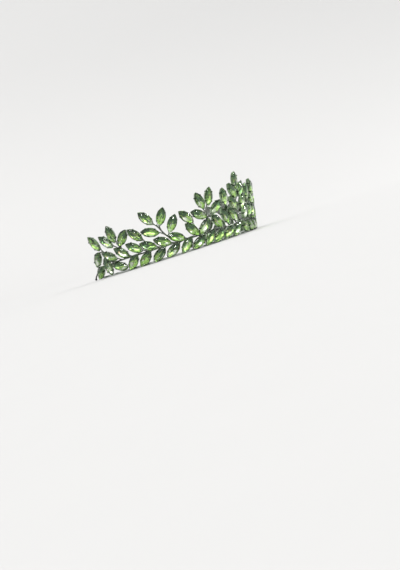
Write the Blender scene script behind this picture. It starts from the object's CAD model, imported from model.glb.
import math
import random

import bpy
import numpy as np
from mathutils import Matrix, Vector


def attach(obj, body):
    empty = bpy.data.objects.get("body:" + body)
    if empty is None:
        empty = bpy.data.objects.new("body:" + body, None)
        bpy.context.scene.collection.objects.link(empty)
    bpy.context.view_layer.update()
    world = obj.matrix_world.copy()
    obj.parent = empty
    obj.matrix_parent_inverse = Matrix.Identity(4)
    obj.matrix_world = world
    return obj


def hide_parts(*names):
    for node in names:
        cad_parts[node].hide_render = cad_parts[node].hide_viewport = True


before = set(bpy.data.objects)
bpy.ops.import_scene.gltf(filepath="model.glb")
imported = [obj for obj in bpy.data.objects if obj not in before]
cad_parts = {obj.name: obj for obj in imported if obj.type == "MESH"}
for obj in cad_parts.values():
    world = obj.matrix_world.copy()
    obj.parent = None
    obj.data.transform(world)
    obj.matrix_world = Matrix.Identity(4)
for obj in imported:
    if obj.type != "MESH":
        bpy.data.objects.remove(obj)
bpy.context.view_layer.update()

bl_info = {
    "name": "Leaf crown",
    "version": (1, 0, 0),
    "blender": (4, 5, 0),
    "location": "3D View > Sidebar > Crown",
    "description": "Builds a bridal crown of leaf stones in claw cups around its packed frame",
    "category": "Add Mesh",
}

MM = 0.001

# The leaned surface that carries the leaves, as in the frame: its radius at the foot and its lean
FOOT_RADIUS = 78 * MM
LEAN = math.radians(10)
# The vine wire's height, and half of the gap between the vine's two halves
VINE_HEIGHT = 10.2 * MM
VINE_SPLIT = math.radians(0.12)
# How far the stems run behind that surface, and the rail inside its foot
STEM_DEPTH = 0.85 * MM
RAIL_GAP = 0.3 * MM
# How far the vine and the rail reach round from the front
VINE_END = math.radians(87)
RAIL_END = math.radians(101)
RAIL_WIDTH, RAIL_HEIGHT = 1.4 * MM, 1.6 * MM
RAIL_CORNER = 0.28 * MM

# Each sprig's stem: arc angle in degrees and height in millimetres of its foot, bend and top
STEMS = {
    "front": ((9.2, 11.1), (10.2, 19.0), (10.8, 26.0)),
    "inner": ((27.2, 11.1), (24.8, 18.5), (24.0, 28.5)),
    "middle": ((45.4, 11.1), (50.4, 18.0), (53.8, 27.5)),
    "outer": ((76.3, 11.1), (77.4, 17.0), (79.2, 23.5)),
    "end": ((86.0, 11.1), (89.4, 16.0), (91.4, 22.0)),
    "centre": ((0.0, 11.1), (0.0, 24.0), (0.0, 36.0)),
}


def length(name, text, millimetres):
    """A setting for a length."""
    return bpy.props.FloatProperty(
        name=name, description=text, default=millimetres * MM, min=0.0, unit="LENGTH", subtype="DISTANCE")


def angle(name, text, degrees):
    """A setting for an angle."""
    return bpy.props.FloatProperty(
        name=name, description=text, default=math.radians(degrees), unit="ROTATION", subtype="ANGLE")


def colour(name, text, value):
    """A setting for a colour."""
    return bpy.props.FloatVectorProperty(
        name=name, description=text, default=value, min=0.0, max=1.0, size=3, subtype="COLOR")


class CrownSizes(bpy.types.PropertyGroup):
    """Sizes of the crown's own details."""
    cup_length: length("Cup length", "Length of a cup at its rim", 15.6)
    cup_width: length("Cup width", "Width of a cup at its rim", 7.6)
    stone_length: length("Stone length", "Length of a stone at its widest line", 14.4)
    stone_width: length("Stone width", "Width of a stone at its widest line", 6.68)
    claw_width: length("Claw width", "Width of a claw where it leaves the wall", 1.1)
    wire: length("Wire", "Diameter of the stems and of the vine wire", 1.2)
    twig: length("Twig", "Diameter of the twig under a leaf", 1.0)
    hook_span: angle("Hook span", "Arc angle of a hook past the rail's end", 11)
    hook_crest: length("Hook crest", "Height of a hook over its ends", 4)
    hook_bead: length("Hook bead", "Diameter of the bead that finishes a hook", 1.9)


class CrownColours(bpy.types.PropertyGroup):
    """Colours of the plating, the glass and the foil behind it."""
    plating: colour("Plating", "Dark nickel plating with a faint green cast", (0.120, 0.136, 0.114))
    plating_worn: colour("Worn plating", "Plating where it is rubbed", (0.36, 0.39, 0.345))
    wall: colour("Cup walls", "Greener plating of the cups' walls and rims", (0.125, 0.181, 0.100))
    claw: colour("Claws", "Darkened plating of the claws", (0.030, 0.042, 0.029))
    rail: colour("Rail", "Brighter plating of the base rail", (0.44, 0.47, 0.44))
    hook: colour("Hooks", "Blackened spring wire", (0.020, 0.020, 0.022))
    glass: colour("Glass", "Tint of the stones' glass", (0.95, 0.99, 0.92))
    foil_light: colour("Light foil", "Foil facets that catch the light", (0.47, 0.75, 0.19))
    foil_dark: colour("Dark foil", "Foil facets that lie in shade", (0.030, 0.105, 0.022))
    floor: colour("Floor", "Seamless studio paper", (0.53, 0.525, 0.515))


class CrownStage(bpy.types.PropertyGroup):
    """Place of the camera round the crown."""
    azimuth: angle("Azimuth", "Camera's direction round the crown, from the front", -50.9)
    camera_height: length("Camera height", "Camera's height over the floor", 10)
    distance: length("Distance", "Camera's distance from the ring's axis", 582)
    roll: angle("Roll", "Lean of the camera", -17.8)


class Value:
    """A shader socket that Python's operators work on, each adding its Math node."""

    def __init__(self, shader, socket):
        self.shader, self.socket = shader, socket

    def maths(self, operation, *values):
        """A Math node on numbers or other values."""
        inputs = dict(enumerate(values))
        return self.shader.node("ShaderNodeMath", {"operation": operation}, inputs)[0]

    def __add__(self, other):
        return self.maths("ADD", self, other)

    def __radd__(self, other):
        return self.maths("ADD", other, self)

    def __sub__(self, other):
        return self.maths("SUBTRACT", self, other)

    def __rsub__(self, other):
        return self.maths("SUBTRACT", other, self)

    def __mul__(self, other):
        return self.maths("MULTIPLY", self, other)

    def __rmul__(self, other):
        return self.maths("MULTIPLY", other, self)

    def clamped(self):
        """The value, kept between 0 and 1."""
        return self.maths("MAXIMUM", self.maths("MINIMUM", self, 1.0), 0.0)


# Which output of Texture Coordinate is Object, and which sockets of Mix are the factor and the colours
OBJECT_OUT = 3
MIX_FACTOR, MIX_LOW, MIX_HIGH, MIX_OUT = 0, 6, 7, 2
NOISE_ROUGHNESS = 0.6


class Shader:
    """A material's node tree, with one method that adds any node."""

    def __init__(self, name):
        self.material = bpy.data.materials.new(name)
        self.material.use_nodes = True
        self.tree = self.material.node_tree
        self.tree.nodes.clear()

    def node(self, kind, settings=None, inputs=None):
        """Adds a node, its settings first and then its sockets' values or links, and gives its outputs."""
        made = self.tree.nodes.new(kind)
        for name, value in (settings or {}).items():
            setattr(made, name, value)
        for name, value in (inputs or {}).items():
            if isinstance(value, Value):
                self.tree.links.new(value.socket, made.inputs[name])
            else:
                made.inputs[name].default_value = value
        return [Value(self, output) for output in made.outputs]

    def where(self):
        """Object coordinates, which are the frame's own metres."""
        return self.node("ShaderNodeTexCoord")[OBJECT_OUT]

    def noise(self, size, detail):
        """Noise from 0 to 1 whose grains are about that many metres."""
        inputs = {"Vector": self.where(), "Scale": 1 / size, "Detail": detail, "Roughness": NOISE_ROUGHNESS}
        return self.node("ShaderNodeTexNoise", None, inputs)[0]

    def blend(self, factor, low, high):
        """A colour between two colours."""
        inputs = {MIX_FACTOR: factor, MIX_LOW: (*low, 1.0), MIX_HIGH: (*high, 1.0)}
        return self.node("ShaderNodeMix", {"data_type": "RGBA"}, inputs)[MIX_OUT]

    def bump(self, height, distance, strength):
        """A normal from a height, which stands for this many metres from 0 to 1."""
        inputs = {"Height": height, "Distance": distance, "Strength": strength}
        return self.node("ShaderNodeBump", None, inputs)[0]

    def surface(self, inputs):
        """Ends the tree in the Principled shader with these sockets."""
        shader = self.node("ShaderNodeBsdfPrincipled", None, inputs)[0]
        self.node("ShaderNodeOutputMaterial", None, {"Surface": shader})
        return self.material


def mix_of(factor, low, high):
    """A number between two numbers, as an expression."""
    return low + factor * (high - low)


def times(tone, share):
    """A colour made this many times as light, up to white."""
    return tuple(min(1.0, part * share) for part in tone)


def plated(name, dark, rubbed):
    """Dark nickel plating over pressed brass: polished, with fine tool marks and rubbed spots."""
    shader = Shader(name)
    cloud = shader.noise(5 * MM, detail=4.0)
    grain = shader.noise(0.25 * MM, detail=3.0)
    contrast, least = 2.6, 1.0
    rub = (cloud * contrast - least).clamped()
    return shader.surface({
        "Base Color": shader.blend(rub, dark, rubbed),
        "Metallic": 1.0,
        "Roughness": mix_of(cloud, low=0.12, high=0.30),
        "Normal": shader.bump(grain, distance=0.02 * MM, strength=0.35),
    })


def foil(name, tone):
    """Mirror foil under the glass, a little cloudy, in one of the stone's tones."""
    shader = Shader(name)
    cloud = shader.noise(1.6 * MM, detail=3.0)
    dim, bright = times(tone, share=0.72), times(tone, share=1.25)
    return shader.surface({
        "Base Color": shader.blend(cloud, dim, bright),
        "Metallic": 0.65,
        "Roughness": mix_of(cloud, low=0.10, high=0.26),
    })


def clear_glass(name, tint):
    """Polished glass of a stone's face, with faint wear on its facets."""
    shader = Shader(name)
    wear = shader.noise(0.8 * MM, detail=4.0)
    return shader.surface({
        "Base Color": shader.blend(wear, times(tint, share=0.94), tint),
        "Roughness": mix_of(wear, low=0.0, high=0.05),
        "IOR": 1.2,
        "Transmission Weight": 1.0,
        "Coat Weight": 1.0,
        "Coat Roughness": 0.06,
    })


def paper(name, tone):
    """Matt studio paper with a faint tooth."""
    shader = Shader(name)
    tooth = shader.noise(6 * MM, detail=4.0)
    return shader.surface({
        "Base Color": shader.blend(tooth, times(tone, share=0.985), tone),
        "Roughness": 0.95,
        "Specular IOR Level": 0.15,
    })


def finish(name, maker, *values):
    """A material by its name, made when it is first needed."""
    return bpy.data.materials.get(name) or maker(name, *values)


class Shape:
    """Points and faces that are gathered and then made into one mesh."""

    def __init__(self):
        self.points, self.faces, self.slots, self.smooth = [], [], [], []

    def add(self, points, faces, slots=0, smooth=True):
        """Adds points and their faces, with one finish for all faces or a list of theirs."""
        start = len(self.points)
        self.points.extend(points)
        self.faces.extend(tuple(start + i for i in face) for face in faces)
        self.slots.extend(slots if isinstance(slots, list) else [slots] * len(faces))
        self.smooth.extend([smooth] * len(faces))

    def placed(self, other, matrix, slots=None):
        """Adds another shape, turned and moved by a matrix, with its own finishes or these."""
        start = len(self.points)
        self.points.extend(matrix @ point for point in other.points)
        self.faces.extend(tuple(start + i for i in face) for face in other.faces)
        self.slots.extend(slots or other.slots)
        self.smooth.extend(other.smooth)

    def mesh(self, name, materials, sharp=None):
        """Makes the mesh and its object, with edges sharp above an angle if one is given."""
        mesh = bpy.data.meshes.new(name)
        mesh.from_pydata([tuple(point) for point in self.points], [], self.faces)
        mesh.polygons.foreach_set("material_index", self.slots)
        mesh.polygons.foreach_set("use_smooth", self.smooth)
        for material in materials:
            mesh.materials.append(material)
        mesh.validate()
        mesh.update()
        if sharp is not None:
            mesh.set_sharp_from_angle(angle=sharp)
        piece = bpy.data.objects.new(name, mesh)
        bpy.context.scene.collection.objects.link(piece)
        return piece


def strip(rows, count):
    """Faces between neighbouring closed rows of count points each."""
    return [
        (row * count + i, row * count + (i + 1) % count,
         (row + 1) * count + (i + 1) % count, (row + 1) * count + i)
        for row in range(rows - 1) for i in range(count)
    ]


def closed_strip(rows, count):
    """The same faces, and one over each end."""
    last = (rows - 1) * count
    return strip(rows, count) + [tuple(range(count))[::-1], tuple(range(last, last + count))]


def bearings(count):
    """Angles at even steps round a circle."""
    return [math.tau * i / count for i in range(count)]


def tube(shape, route, radii, sides):
    """A round wire along a route, with closed ends."""
    heading = (route[1] - route[0]).normalized()
    side = heading.orthogonal().normalized()
    points = []
    for i, (point, radius) in enumerate(zip(route, radii)):
        ahead = route[min(i + 1, len(route) - 1)] - route[max(i - 1, 0)]
        turn = heading.rotation_difference(ahead.normalized())
        heading, side = ahead.normalized(), turn @ side
        up = heading.cross(side)
        for bearing in bearings(sides):
            points.append(point + radius * (math.cos(bearing) * side + math.sin(bearing) * up))
    shape.add(points, closed_strip(len(route), sides))


def ball(shape, centre, radius, sides=16, rows=9):
    """A bead, with this many facets round it and from top to bottom."""
    points = []
    for row in range(1, rows):
        tilt = math.pi * row / rows
        wide, high = math.sin(tilt), math.cos(tilt)
        for bearing in bearings(sides):
            point = Vector((wide * math.cos(bearing), wide * math.sin(bearing), high))
            points.append(centre + radius * point)
    faces = [face[::-1] for face in strip(rows - 1, sides)]
    top, low = len(points), len(points) + 1
    points += [centre + Vector((0, 0, radius)), centre - Vector((0, 0, radius))]
    last = (rows - 2) * sides
    for k in range(sides):
        faces.append((top, k, (k + 1) % sides))
        faces.append((low, last + (k + 1) % sides, last + k))
    shape.add(points, faces)


def on_surface(arc, height, out=0.0):
    """Point of the leaned surface at an arc angle toward -X, moved out from it."""
    radius = FOOT_RADIUS + height * math.tan(LEAN) + out * math.cos(LEAN)
    return Vector((-radius * math.sin(arc), -radius * math.cos(arc), height - out * math.sin(LEAN)))


def arc_of(point):
    """Arc angle of a point, from the front toward -X."""
    return math.atan2(-point.x, -point.y)


def smooth_route(points, steps):
    """A curve through the points, which passes each in the direction of its neighbours."""
    ends = [2 * points[0] - points[1], *points, 2 * points[-1] - points[-2]]
    route = []
    for a, b, c, d in zip(ends, ends[1:], ends[2:], ends[3:]):
        slope, square, cube = c - a, 2 * a - 5 * b + 4 * c - d, 3 * b - a - 3 * c + d
        for step in range(steps):
            t = step / steps
            route.append(0.5 * (2 * b + slope * t + square * t * t + cube * t ** 3))
    return route + [points[-1]]


class Leaf:
    """One cup with its stone: where it lies, found from its stone in the frame."""

    def __init__(self, tips, stem_end):
        self.middle = (tips[0] + tips[1]) / 2
        root, tip = sorted(tips, key=stem_end)
        self.along = (tip - root).normalized()
        arc = arc_of(self.middle)
        self.out = Vector((
            -math.sin(arc) * math.cos(LEAN), -math.cos(arc) * math.cos(LEAN), -math.sin(LEAN)))
        self.across = self.out.cross(self.along).normalized()
        self.out = self.along.cross(self.across)

    def matrix(self, below=0.0):
        """From a leaf's own axes, X along it and Z out of its face, to the crown's."""
        axes = Matrix((self.along, self.across, self.out)).transposed().to_4x4()
        return Matrix.Translation(self.middle - below * self.out) @ axes

    def point(self, x, y, z):
        """A point of the crown, from its place in the leaf's own axes."""
        return self.matrix() @ Vector((x, y, z))


# Corners of a CAD mesh that agree to this many decimals of a metre are one
CORNER_DECIMALS = 6


def stone_tips(node):
    """The two ends of each stone in a CAD node."""
    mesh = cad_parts[node].data
    corners = np.array([vertex.co for vertex in mesh.vertices])
    spots, spot_of = np.unique(corners.round(CORNER_DECIMALS), axis=0, return_inverse=True)
    parent = list(range(len(spots)))

    def top(i):
        while parent[i] != i:
            parent[i] = parent[parent[i]]
            i = parent[i]
        return i

    for edge in mesh.edges:
        first, second = (int(i) for i in spot_of[list(edge.vertices)])
        parent[top(first)] = top(second)
    groups = {}
    for i, spot in enumerate(spots):
        groups.setdefault(top(i), []).append(Vector(spot))
    ends = []
    for points in groups.values():
        first = max(points, key=lambda point: (point - points[0]).length)
        second = max(points, key=lambda point: (point - first).length)
        ends.append((first, second))
    return ends


def stem_points(kind, mirror):
    """Foot, bend and top of a sprig's stem."""
    return [
        on_surface(math.radians(-arc if mirror else arc), height * MM, -STEM_DEPTH)
        for arc, height in STEMS[kind]
    ]


def stem_at(points, height):
    """Point of a stem at a height."""
    for low, high in zip(points, points[1:]):
        if height <= high.z or high is points[-1]:
            t = (height - low.z) / (high.z - low.z)
            return low.lerp(high, min(max(t, 0.0), 1.0))


def distance_to(points):
    """How far a point is from a stem, as a function."""
    def measure(point):
        return (stem_at(points, point.z) - point).length
    return measure


# Steps along a side of a leaf outline, the share of the side that they keep at each end, and the
# share of the rest that the blunt end still reaches
OUTLINE_STEPS = 14
SIDE_KEPT = 0.97
END_KEPT = 0.6


def lens_outline(side_radius, side_offset, inset):
    """Points round a leaf outline drawn in by an inset, with slightly blunt ends."""
    radius = side_radius - inset
    reach = math.sqrt(radius * radius - side_offset * side_offset)
    half = math.asin(reach / radius) * SIDE_KEPT
    upper = []
    for i in range(OUTLINE_STEPS + 1):
        t = half * (1 - 2 * i / OUTLINE_STEPS)
        upper.append((radius * math.sin(t), radius * math.cos(t) - side_offset))
    tip = reach * SIDE_KEPT + (1 - SIDE_KEPT) * reach * END_KEPT
    lower = [(x, -y) for x, y in reversed(upper)]
    return [(tip, 0.0), *upper, (-tip, 0.0), *lower]


# A cup's section, from the middle of its back round the rim to the middle of its floor: inset from
# the rim and height, in millimetres
CUP_SECTION = (
    (3.30, 0.10), (1.75, 0.10), (1.45, 0.06), (1.20, 0.00), (0.98, 0.01), (0.80, 0.09), (0.66, 0.26),
    (0.40, 1.25), (0.14, 2.25), (0.02, 2.48), (0.00, 2.60), (0.05, 2.70), (0.15, 2.76), (0.27, 2.74),
    (0.34, 2.65), (0.38, 2.45), (0.62, 1.60), (1.00, 0.76), (3.30, 0.72),
)
# The rows of that section that are the cup's outer wall and rim
WALL_ROWS = range(6, 14)
# A claw along its middle, from the wall over the stone: how far out from the rim and how high in
# millimetres, the share of its full width, and its thickness in millimetres
CLAW_PATH = (
    (-0.12, 0.75, 0.90, 0.34), (-0.08, 1.20, 1.00, 0.42), (-0.03, 2.00, 1.00, 0.44),
    (-0.03, 2.75, 0.98, 0.44), (-0.08, 3.12, 0.94, 0.42), (-0.25, 3.42, 0.88, 0.40),
    (-0.58, 3.57, 0.80, 0.36), (-0.88, 3.60, 0.66, 0.30), (-1.02, 3.58, 0.40, 0.18),
)
# Round section of a claw, as shares of its half width and half thickness
CLAW_SECTION = (
    (1.0, 0.0), (0.9, 0.62), (0.55, 0.95), (0.0, 1.0), (-0.55, 0.95), (-0.9, 0.62),
    (-1.0, 0.0), (-0.9, -0.62), (-0.55, -0.95), (0.0, -1.0), (0.55, -0.95), (0.9, -0.62),
)
# How far a claw is from the middle of its cup, as a share of the cup's length
CLAW_PLACE = 0.25
# Height of a stone's widest line over the back of its cup
GIRDLE_HEIGHT = 2.8 * MM
# Places of the finishes on the metal of a vine or sprig, and of the hooks' finish on the rail
STEM_FINISH, CLAW_FINISH, WALL_FINISH = 0, 1, 2
HOOK_FINISH = 1


def side_circle(long, wide):
    """Radius of the circles that bound a leaf outline, and how far they are moved apart."""
    radius = (long * long + wide * wide) / (4 * wide)
    return radius, radius - wide / 2


def cup_shape(sizes):
    """One cup with its claws, in a leaf's own axes with Z = 0 on its back."""
    shape = Shape()
    radius, offset = side_circle(sizes.cup_length, sizes.cup_width)
    rows = [lens_outline(radius, offset, inset * MM) for inset, _ in CUP_SECTION]
    points = [Vector((x, y, height * MM)) for row, (_, height) in zip(rows, CUP_SECTION) for x, y in row]
    count, slots = len(rows[0]), []
    for row in range(len(rows) - 1):
        slots += [WALL_FINISH if row in WALL_ROWS else STEM_FINISH] * count
    shape.add(points, closed_strip(len(rows), count), slots + [STEM_FINISH, STEM_FINISH])
    turn = math.asin(CLAW_PLACE * sizes.cup_length / radius)
    for side in (1, -1):
        for place in (turn, -turn):
            claw(shape, sizes.claw_width, radius, offset, place, side)
    return shape


def claw(shape, width, radius, offset, place, side):
    """One claw on the rim, at an angle round the outline's circle."""
    outward = Vector((math.sin(place), side * math.cos(place), 0))
    sideways = Vector((math.cos(place), -side * math.sin(place), 0))
    centre = Vector((0, -side * offset, 0))
    path = [(out * MM, height * MM) for out, height, _, _ in CLAW_PATH]
    points = []
    for i, (out, height) in enumerate(path):
        before, after = path[max(i - 1, 0)], path[min(i + 1, len(path) - 1)]
        run = Vector((after[0] - before[0], after[1] - before[1])).normalized()
        _, _, breadth, thick = CLAW_PATH[i]
        for across, over in CLAW_SECTION:
            skew = over * thick * MM / 2
            points.append(
                centre + (radius + out + run.y * skew) * outward
                + across * breadth * width / 2 * sideways
                + Vector((0, 0, height - run.x * skew)))
    faces = closed_strip(len(path), len(CLAW_SECTION))
    if side < 0:
        faces = [face[::-1] for face in faces]
    shape.add(points, faces, CLAW_FINISH)


# A stone's rings from its table to its keel: share of its length, share of its width, height in
# millimetres, and 1 where the points are half a step on
STONE_RINGS = (
    (0.62, 0.55, 1.10, 0), (0.84, 0.80, 0.66, 1), (1.00, 1.00, 0.05, 0),
    (1.00, 1.00, -0.05, 0), (0.96, 0.86, -0.50, 0), (0.89, 0.68, -0.98, 1), (0.80, 0.47, -1.42, 0),
    (0.70, 0.25, -1.78, 1), (0.56, 0.06, -1.98, 0),
)
# The first ring of the foil
FOIL_RING = 3
# Facets of a ring on each side of the stone
STONE_STEPS = 8


def stone_ring(radius, offset, ring):
    """Points of one ring of a stone's facets."""
    long, wide, height, half_step = ring
    half = math.asin(math.sqrt(radius * radius - offset * offset) / radius)
    count = 2 * STONE_STEPS
    points = []
    for i in range(count):
        place = i + half_step / 2
        side = 1 if place < STONE_STEPS else -1
        t = half * (1 - 2 * (place % STONE_STEPS) / STONE_STEPS)
        x, y = radius * math.sin(t) * side, (radius * math.cos(t) - offset) * side
        points.append(Vector((long * x, wide * y, height * MM)))
    return points


def stone_shape(sizes):
    """One faceted stone, Z = 0 at its widest line, and each face's row of foil, or 0 for glass."""
    shape = Shape()
    radius, offset = side_circle(sizes.stone_length, sizes.stone_width)
    rings = [stone_ring(radius, offset, ring) for ring in STONE_RINGS]
    count = 2 * STONE_STEPS
    points = [point for ring in rings for point in ring]
    faces, foils = [tuple(range(count))], [0]
    for row in range(len(rings) - 1):
        high, low = row * count, (row + 1) * count
        shifts = STONE_RINGS[row][3], STONE_RINGS[row + 1][3]
        for i in range(count):
            j = (i + 1) % count
            if shifts == (0, 0) and row < FOIL_RING:
                made = [(high + i, low + i, low + j, high + j)]
            elif shifts == (0, 0):
                made = [(high + i, low + i, low + j), (high + i, low + j, high + j)]
            elif shifts == (0, 1):
                made = [(high + i, low + i, high + j), (high + j, low + i, low + j)]
            else:
                made = [(high + i, low + j, high + j), (high + i, low + i, low + j)]
            faces += made
            foils += [max(0, row - FOIL_RING + 1)] * len(made)
    last = (len(rings) - 1) * count
    faces.append(tuple(range(last, last + count))[::-1])
    foils.append(len(rings) - FOIL_RING)
    shape.add(points, faces, smooth=False)
    return shape, foils


FOIL_TONES = ("dark", "shade", "mid", "light", "pale", "amber")
# The two foils that don't lie between light and dark, and what the pale one leans to
SHADE, AMBER = (0.062, 0.145, 0.062), (0.24, 0.19, 0.10)
SHINE = (0.97, 1.0, 0.92)
# How far the middle foil lies from dark to light, and the pale one from light to that shine
MID_SHARE, PALE_SHARE = 0.45, 0.8


def stone_finishes(colours):
    """The glass, then the foils in the order of FOIL_TONES."""
    light, dark = Vector(colours.foil_light), Vector(colours.foil_dark)
    tones = {
        "dark": dark,
        "shade": Vector(SHADE),
        "mid": dark.lerp(light, MID_SHARE),
        "light": light,
        "pale": light.lerp(Vector(SHINE), PALE_SHARE),
        "amber": Vector(AMBER),
    }
    made = [finish("stone_glass", clear_glass, tuple(colours.glass))]
    for name in FOIL_TONES:
        made.append(finish("foil_" + name, foil, tuple(tones[name])))
    return made


# The tones that a foil facet draws from, by how far it lies above its stone's middle, from -1 to 1:
# a facet takes the first row that it lies over
FOIL_MIX = (
    (0.28, ("dark", "dark", "dark", "shade", "shade", "shade", "mid")),
    (0.06, ("dark", "dark", "shade", "mid", "light", "amber")),
    (-0.12, ("dark", "shade", "light", "pale")),
    (-2.0, ("dark", "mid", "light", "light", "light", "light", "pale", "pale")),
)
# Facets of one band within this length share their draw, as a streak
STREAK_LENGTH = 3.6 * MM
# Share of the facets that draw a tone of their own
STRAY_SHARE = 0.22
# How widely the tones of one side of a band of two rows lean to light or dark, none for glass and
# then from the rim to the keel, and how widely those of one draw do
BAND_LEAN = (0.0, 0.6, 0.3, 0.3)
DRAW_LEAN = 0.16


def foil_slot(rise, draw):
    """Slot of a foil facet, from its rise over its stone's middle and a draw from 0 to 1."""
    for least, tones in FOIL_MIX:
        if rise > least:
            return 1 + FOIL_TONES.index(tones[int(draw * len(tones))])


def stones_of(node, sizes, colours):
    """The stones that stand for a CAD node of stones."""
    template, foils = stone_shape(sizes)
    middles = [sum((template.points[i] for i in face), Vector()) / len(face) for face in template.faces]
    dice = random.Random(node)
    shape = Shape()
    for leaf in leaves_of(node):
        matrix = leaf.matrix()
        rises = [(matrix @ middle - leaf.middle).z for middle in middles]
        most = max(map(abs, rises))
        draws, slots = {}, []
        for rise, row, middle in zip(rises, foils, middles):
            band = (row + 1) // 2
            side = band, middle.y > 0
            shift = draws.setdefault(side, dice.random())
            streak = side, round(middle.x / STREAK_LENGTH + shift)
            draw = draws.setdefault(streak, dice.random())
            if dice.random() < STRAY_SHARE:
                draw = dice.random()
            lean = BAND_LEAN[band] * (shift - 0.5) + DRAW_LEAN * (draw - 0.5)
            slots.append(foil_slot(rise / most + lean, draw) if row else 0)
        shape.placed(template, matrix, slots)
    piece = shape.mesh(node.replace("stones", "gems"), stone_finishes(colours))
    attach(piece, "root")
    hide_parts(node)


def kind_and_side(node):
    """The kind of a node, such as inner, and whether it is on the right."""
    return node.replace("stones_", "").replace("_sprig", "").split("_")[0], node.endswith("right")


def leaves_of(stones_node):
    """The leaves whose stones a CAD node holds."""
    kind, right = kind_and_side(stones_node)
    if kind == "vine":
        def from_stem(point):
            return abs(point.z - VINE_HEIGHT)
    else:
        from_stem = distance_to(stem_points(kind, right))
    return [Leaf(tips, from_stem) for tips in stone_tips(stones_node)]


# Steps along each wire, where those of a stem are for each of its stretches, and sides round it
VINE_STEPS, STEM_STEPS, TWIG_STEPS, RAIL_STEPS, HOOK_STEPS = 116, 10, 8, 240, 28
WIRE_SIDES, TWIG_SIDES, HOOK_SIDES = 12, 10, 14
# How far in from its cup's end a twig is soldered, and how far before that end it bends
SEAT_INSET, BEND_BEFORE = 3.2 * MM, 0.4 * MM
# How much thicker a twig is at its root and at its cup, each within one part in so many of its length
ROOT_FILLET, SEAT_FILLET, FILLET_PARTS = 0.45, 0.35, 5
# How far before its leaf's end a twig leaves the vine wire, in degrees of arc, at least: for a leaf
# that lies level, and for each millimetre that a leaf's end lies over the wire
ROOT_BEFORE, ROOT_BEFORE_RISE = 2.4, 0.28
# How far under its leaf's end a twig leaves a stem
ROOT_DROP = 3 * MM
# Radii of the beads of solder: under a cup in radii of its twig, the others in diameters of the wire
SEAT_BEAD = 1.3
ROOT_BEAD, VINE_TIP_BEAD, STEM_TOP_BEAD, STEM_FOOT_BEAD = 0.58, 0.62, 0.6, 0.68
# Where a stem's foot bead lies: over the middle of the vine wire, and behind the leaned surface
FOOT_RISE, FOOT_DEPTH = 0.6 * MM, 0.5 * MM
# Facets round a bead and from its top to its bottom, for small ones and for the hooks' beads
SMALL_BEAD, HOOK_BEAD = (12, 7), (20, 12)
# The bead at a hook's inner end, as a share of the outer one
INNER_BEAD = 0.98


def cup_back(leaf, x):
    """Point on the back of a leaf's cup, x along it from the middle."""
    return leaf.point(x, 0, -GIRDLE_HEIGHT)


def twig(shape, root, leaf, sizes):
    """A twig from its root to where it is soldered on the back of its cup, with a fillet at each end."""
    seat = cup_back(leaf, -sizes.cup_length / 2 + SEAT_INSET)
    bend = cup_back(leaf, -sizes.cup_length / 2 - BEND_BEFORE)
    radius, route, radii = sizes.twig / 2, [], []
    for i in range(TWIG_STEPS + 1):
        t = i / TWIG_STEPS
        route.append(root.lerp(bend, t).lerp(bend.lerp(seat, t), t))
        at_root = max(0, 1 - FILLET_PARTS * t)
        at_seat = max(0, FILLET_PARTS * t - (FILLET_PARTS - 1))
        radii.append(radius * (1 + ROOT_FILLET * at_root + SEAT_FILLET * at_seat))
    tube(shape, route, radii, TWIG_SIDES)
    ball(shape, seat, radius * SEAT_BEAD, *SMALL_BEAD)


def vine_root(leaf, sizes, right):
    """Where a leaf's twig leaves the vine wire: a little before the leaf's end, seen along the leaf."""
    end = cup_back(leaf, -sizes.cup_length / 2)
    tip = cup_back(leaf, sizes.cup_length / 2)
    toward = math.copysign(1, arc_of(tip) - arc_of(end))
    lean = math.hypot(leaf.along.x, leaf.along.y)
    rise = (end.z - VINE_HEIGHT) / MM
    before = math.radians(max(ROOT_BEFORE * lean, ROOT_BEFORE_RISE * rise))
    arc = arc_of(end) - toward * before
    least = 2 * VINE_SPLIT + math.asin(sizes.wire / 2 / FOOT_RADIUS)
    arc = min(arc, -least) if right else max(arc, least)
    return on_surface(arc, VINE_HEIGHT)


# How many times lighter each plating is where it is rubbed
CLAW_RUB, WALL_RUB, RAIL_RUB, HOOK_RUB = 2.5, 2.5, 1.5, 2.2
# Edges whose two facets turn by more than this stay sharp
SHARP_ANGLE = math.radians(50)


def one_plating(name, tone, rub):
    """Plating of one colour, this many times lighter where it is rubbed."""
    return finish(name, plated, tuple(tone), tuple(Vector(tone) * rub))


def cup_platings(colours):
    """The finishes of stems, claws and cup walls, in the order of their places."""
    return [
        finish("plating", plated, tuple(colours.plating), tuple(colours.plating_worn)),
        one_plating("claw_plating", colours.claw, CLAW_RUB),
        one_plating("wall_plating", colours.wall, WALL_RUB),
    ]


def metal_piece(shape, name, node, materials):
    """Makes a shape into the plated piece that stands for a CAD node."""
    piece = shape.mesh(name, materials, SHARP_ANGLE)
    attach(piece, "root")
    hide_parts(node)


def add_cups(shape, leaves, sizes):
    """Puts a cup with its claws at each leaf."""
    cup = cup_shape(sizes)
    for leaf in leaves:
        shape.placed(cup, leaf.matrix(GIRDLE_HEIGHT))


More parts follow.
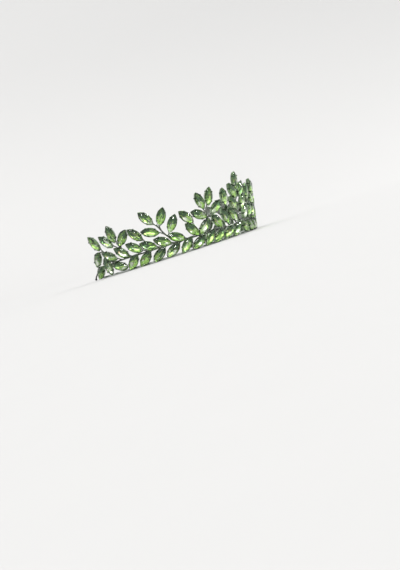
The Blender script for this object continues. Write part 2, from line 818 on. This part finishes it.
class CROWN_OT_vine(bpy.types.Operator):
    """Builds the two halves of the vine with their cups"""
    bl_idname = "crown.vine"
    bl_label = "Vine"

    def execute(self, context):
        sizes, colours = context.scene.crown_sizes, context.scene.crown_colours
        for node, side in (("vine_left", 1), ("vine_right", -1)):
            shape, route = Shape(), []
            for i in range(VINE_STEPS + 1):
                arc = VINE_SPLIT + (VINE_END - VINE_SPLIT) * i / VINE_STEPS
                route.append(on_surface(side * arc, VINE_HEIGHT))
            tube(shape, route, [sizes.wire / 2] * len(route), WIRE_SIDES)
            ball(shape, route[-1], sizes.wire * VINE_TIP_BEAD)
            leaves = leaves_of("stones_" + node)
            for leaf in leaves:
                root = vine_root(leaf, sizes, side < 0)
                twig(shape, root, leaf, sizes)
                ball(shape, root, sizes.wire * ROOT_BEAD, *SMALL_BEAD)
            add_cups(shape, leaves, sizes)
            metal_piece(shape, node + "_metalwork", node, cup_platings(colours))
        return {"FINISHED"}


class CROWN_OT_sprigs(bpy.types.Operator):
    """Builds the sprigs that rise from the vine, with their stems, twigs and cups"""
    bl_idname = "crown.sprigs"
    bl_label = "Sprigs"

    def execute(self, context):
        sizes, colours = context.scene.crown_sizes, context.scene.crown_colours
        nodes = sorted(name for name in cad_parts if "sprig" in name)
        for node in nodes:
            kind, right = kind_and_side(node)
            stem = stem_points(kind, right)
            shape = Shape()
            route = smooth_route(stem, STEM_STEPS)
            tube(shape, route, [sizes.wire / 2] * len(route), WIRE_SIDES)
            ball(shape, stem[-1], sizes.wire * STEM_TOP_BEAD)
            foot = on_surface(arc_of(stem[0]), VINE_HEIGHT + FOOT_RISE, -FOOT_DEPTH)
            ball(shape, foot, sizes.wire * STEM_FOOT_BEAD)
            leaves = leaves_of("stones_" + node.replace("_sprig", ""))
            for leaf in leaves:
                end = cup_back(leaf, -sizes.cup_length / 2)
                height = max(stem[0].z + sizes.wire / 2, end.z - ROOT_DROP)
                twig(shape, stem_at(stem, min(height, stem[-1].z)), leaf, sizes)
            add_cups(shape, leaves, sizes)
            metal_piece(shape, node + "_metalwork", node, cup_platings(colours))
        return {"FINISHED"}


def rail_section():
    """Points round the rail's section, with rounded corners: out from the middle, and height."""
    points = []
    for corner, (x, y) in enumerate(((1, 1), (-1, 1), (-1, -1), (1, -1))):
        out = x * (RAIL_WIDTH / 2 - RAIL_CORNER)
        height = RAIL_HEIGHT / 2 + y * (RAIL_HEIGHT / 2 - RAIL_CORNER)
        for turn in (0, 30, 60, 90):
            bearing = math.radians(90 * corner + turn)
            points.append((out + RAIL_CORNER * math.cos(bearing), height + RAIL_CORNER * math.sin(bearing)))
    return points


class CROWN_OT_rail(bpy.types.Operator):
    """Builds the base rail with its two end hooks"""
    bl_idname = "crown.rail"
    bl_label = "Rail and hooks"

    def execute(self, context):
        sizes, colours = context.scene.crown_sizes, context.scene.crown_colours
        shape, section, points = Shape(), rail_section(), []
        middle = FOOT_RADIUS - RAIL_GAP - RAIL_WIDTH / 2
        for i in range(RAIL_STEPS + 1):
            arc = RAIL_END * (1 - 2 * i / RAIL_STEPS)
            for out, height in section:
                radius = middle + out
                points.append(Vector((-radius * math.sin(arc), -radius * math.cos(arc), height)))
        faces = closed_strip(RAIL_STEPS + 1, len(section))
        shape.add(points, [face[::-1] for face in faces])
        for side in (1, -1):
            self.hook(shape, sizes, middle, side)
        rail_plating = one_plating("rail_plating", colours.rail, RAIL_RUB)
        hook_wire = one_plating("hook_wire", colours.hook, HOOK_RUB)
        metal_piece(shape, "rail_metalwork", "base_rail", [rail_plating, hook_wire])
        return {"FINISHED"}

    def hook(self, shape, sizes, middle, side):
        """A springy arch of wire past one end of the rail, with a bead at each of its ends."""
        chord = 2 * FOOT_RADIUS * math.sin(sizes.hook_span / 2)
        crest = sizes.hook_crest
        radius = (chord * chord / 4 + crest * crest) / (2 * crest)
        half = math.asin(chord / 2 / radius)
        low = sizes.hook_bead / 2
        arc = side * (RAIL_END + sizes.hook_span / 2)
        depth = middle * math.cos(sizes.hook_span / 2)
        outward = Vector((-math.sin(arc), -math.cos(arc), 0))
        onward = Vector((-math.cos(arc), math.sin(arc), 0)) * side
        route = []
        for i in range(HOOK_STEPS + 1):
            turn = half * (2 * i / HOOK_STEPS - 1)
            height = low + crest - radius + radius * math.cos(turn)
            route.append(depth * outward + radius * math.sin(turn) * onward + Vector((0, 0, height)))
        start = len(shape.slots)
        tube(shape, route, [sizes.wire / 2] * len(route), HOOK_SIDES)
        ball(shape, route[-1], sizes.hook_bead / 2, *HOOK_BEAD)
        ball(shape, route[0], sizes.hook_bead / 2 * INNER_BEAD, *HOOK_BEAD)
        for i in range(start, len(shape.slots)):
            shape.slots[i] = HOOK_FINISH


class CROWN_OT_stones(bpy.types.Operator):
    """Builds the faceted stones with their foil backs"""
    bl_idname = "crown.stones"
    bl_label = "Stones"

    def execute(self, context):
        sizes, colours = context.scene.crown_sizes, context.scene.crown_colours
        for node in sorted(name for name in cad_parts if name.startswith("stones_")):
            stones_of(node, sizes, colours)
        return {"FINISHED"}


# The ring's axis, this high up, comes at this pixel of the picture, seen with this focal length
AIM_HEIGHT = 27.8 * MM
AIM_PIXEL = (162.4, 226.6)
PICTURE = (400, 570)
FOCAL_PIXELS = 636
SENSOR = 36.0
CLIP_START, CLIP_END = 0.001, 20
# The paper, in metres: its first ring, how far it is flat, how far it goes on beyond that, and how
# many times the square of the way beyond it rises
PAPER_MIDDLE, PAPER_FLAT, PAPER_REACH, PAPER_RISE = 0.02, 0.7, 5.0, 0.11
PAPER_SIDES, PAPER_STEPS = 96, 32
AIR_COLOUR, AIR_STRENGTH = (0.97, 0.98, 1.0, 1.0), 0.92
# Each far lamp's place, width in degrees and strength
FAR_LAMPS = {
    "key_light": ((-2.0, -1.2, 2.4), 23, 0.85),
    "top_light": ((0.2, 0.2, 3.0), 31, 0.35),
    "front_light": ((0.25, -2.0, 1.5), 13, 1.3),
}
# Each softbox's place, side in metres and power
SOFTBOXES = {
    "left_spark": ((-1.9, -1.6, 1.2), 0.3, 10),
    "right_spark": ((1.5, -1.7, 0.9), 0.35, 22),
    "back_spark": ((1.3, 1.1, 3.2), 0.3, 14),
}
# The point that every lamp is turned to
LIT_POINT = (0, -0.03, 0.02)


class CROWN_OT_stage(bpy.types.Operator):
    """Builds the seamless floor, the lights and the camera"""
    bl_idname = "crown.stage"
    bl_label = "Stage"

    def execute(self, context):
        self.floor(tuple(context.scene.crown_colours.floor))
        self.lights(context.scene)
        self.camera(context.scene, context.scene.crown_stage)
        return {"FINISHED"}

    def floor(self, tone):
        """A round sweep of paper: flat under the crown, rising ever more steeply all round."""
        profile = [(PAPER_MIDDLE, 0.0), (PAPER_FLAT / 2, 0.0)]
        for i in range(PAPER_STEPS + 1):
            reach = PAPER_REACH * i / PAPER_STEPS
            profile.append((PAPER_FLAT + reach, PAPER_RISE * reach * reach))
        points = []
        for radius, height in profile:
            for bearing in bearings(PAPER_SIDES):
                points.append(Vector((radius * math.cos(bearing), radius * math.sin(bearing), height)))
        shape = Shape()
        rows = [face[::-1] for face in strip(len(profile), PAPER_SIDES)]
        shape.add(points, rows + [tuple(range(PAPER_SIDES))])
        sweep = shape.mesh("studio_paper", [finish("studio_paper", paper, tone)])

    def lights(self, scene):
        """Pale air all round, far lamps for the form and softboxes for sparks on the facets."""
        world = bpy.data.worlds.new("studio_air")
        world.use_nodes = True
        background = world.node_tree.nodes["Background"]
        background.inputs["Color"].default_value = AIR_COLOUR
        background.inputs["Strength"].default_value = AIR_STRENGTH
        scene.world = world
        scene.view_settings.view_transform = "Standard"
        for name, values in FAR_LAMPS.items():
            self.far_lamp(name, *values)
        for name, values in SOFTBOXES.items():
            self.softbox(name, *values)

    def far_lamp(self, name, place, spread, strength):
        """A soft lamp, this many degrees wide, so far away that it lights the floor evenly."""
        light = bpy.data.lights.new(name, "SUN")
        light.angle, light.energy = math.radians(spread), strength
        self.hang(light, place)

    def softbox(self, name, place, side, power):
        """A square lamp, near enough for a facet to show it as a spark."""
        light = bpy.data.lights.new(name, "AREA")
        light.shape, light.size, light.energy = "SQUARE", side, power
        self.hang(light, place)

    def hang(self, light, place):
        """Puts a lamp at its place and turns it to the crown."""
        lamp = bpy.data.objects.new(light.name, light)
        lamp.location = place
        toward = Vector(LIT_POINT) - Vector(place)
        lamp.rotation_euler = toward.to_track_quat("-Z", "Y").to_euler()
        bpy.context.scene.collection.objects.link(lamp)

    def camera(self, scene, stage):
        """Aims the camera so that the ring's axis comes at its pixel, leaning by the roll."""
        seen = bpy.data.cameras.new("camera")
        seen.sensor_width = SENSOR
        seen.lens = FOCAL_PIXELS / max(PICTURE) * SENSOR
        seen.clip_start, seen.clip_end = CLIP_START, CLIP_END
        camera = bpy.data.objects.new("camera", seen)
        place = Vector((
            stage.distance * math.sin(stage.azimuth),
            -stage.distance * math.cos(stage.azimuth),
            stage.camera_height))
        toward = Vector((0, 0, AIM_HEIGHT)) - place
        facing = toward.to_track_quat("-Z", "Y") @ Matrix.Rotation(stage.roll, 3, "Z").to_quaternion()
        ray = Vector((
            (AIM_PIXEL[0] - PICTURE[0] / 2) / FOCAL_PIXELS,
            (PICTURE[1] / 2 - AIM_PIXEL[1]) / FOCAL_PIXELS,
            -1))
        camera.rotation_mode = "QUATERNION"
        camera.rotation_quaternion = facing @ ray.rotation_difference(Vector((0, 0, -1)))
        camera.location = place
        scene.collection.objects.link(camera)
        scene.camera = camera


OPERATORS = (CROWN_OT_rail, CROWN_OT_vine, CROWN_OT_sprigs, CROWN_OT_stones, CROWN_OT_stage)


class CROWN_PT_panel(bpy.types.Panel):
    """Lists the crown's operators and settings."""
    bl_idname = "CROWN_PT_panel"
    bl_label = "Leaf crown"
    bl_space_type = "VIEW_3D"
    bl_region_type = "UI"
    bl_category = "Crown"

    def draw(self, context):
        for operator in OPERATORS:
            self.layout.operator(operator.bl_idname)
        for group in (context.scene.crown_sizes, context.scene.crown_colours, context.scene.crown_stage):
            box = self.layout.box()
            for name in group.bl_rna.properties.keys():
                if name not in ("rna_type", "name"):
                    box.prop(group, name)


GROUPS = {"crown_sizes": CrownSizes, "crown_colours": CrownColours, "crown_stage": CrownStage}


def register():
    for made in (*GROUPS.values(), *OPERATORS, CROWN_PT_panel):
        bpy.utils.register_class(made)
    for name, group in GROUPS.items():
        setattr(bpy.types.Scene, name, bpy.props.PointerProperty(type=group))


def unregister():
    for name in GROUPS:
        delattr(bpy.types.Scene, name)
    for made in (CROWN_PT_panel, *reversed(OPERATORS), *reversed(GROUPS.values())):
        bpy.utils.unregister_class(made)


def main():
    """Builds the stage and the crown."""
    register()
    bpy.ops.crown.stage()
    bpy.ops.crown.rail()
    bpy.ops.crown.vine()
    bpy.ops.crown.sprigs()
    bpy.ops.crown.stones()


if __name__ == "__main__":
    main()
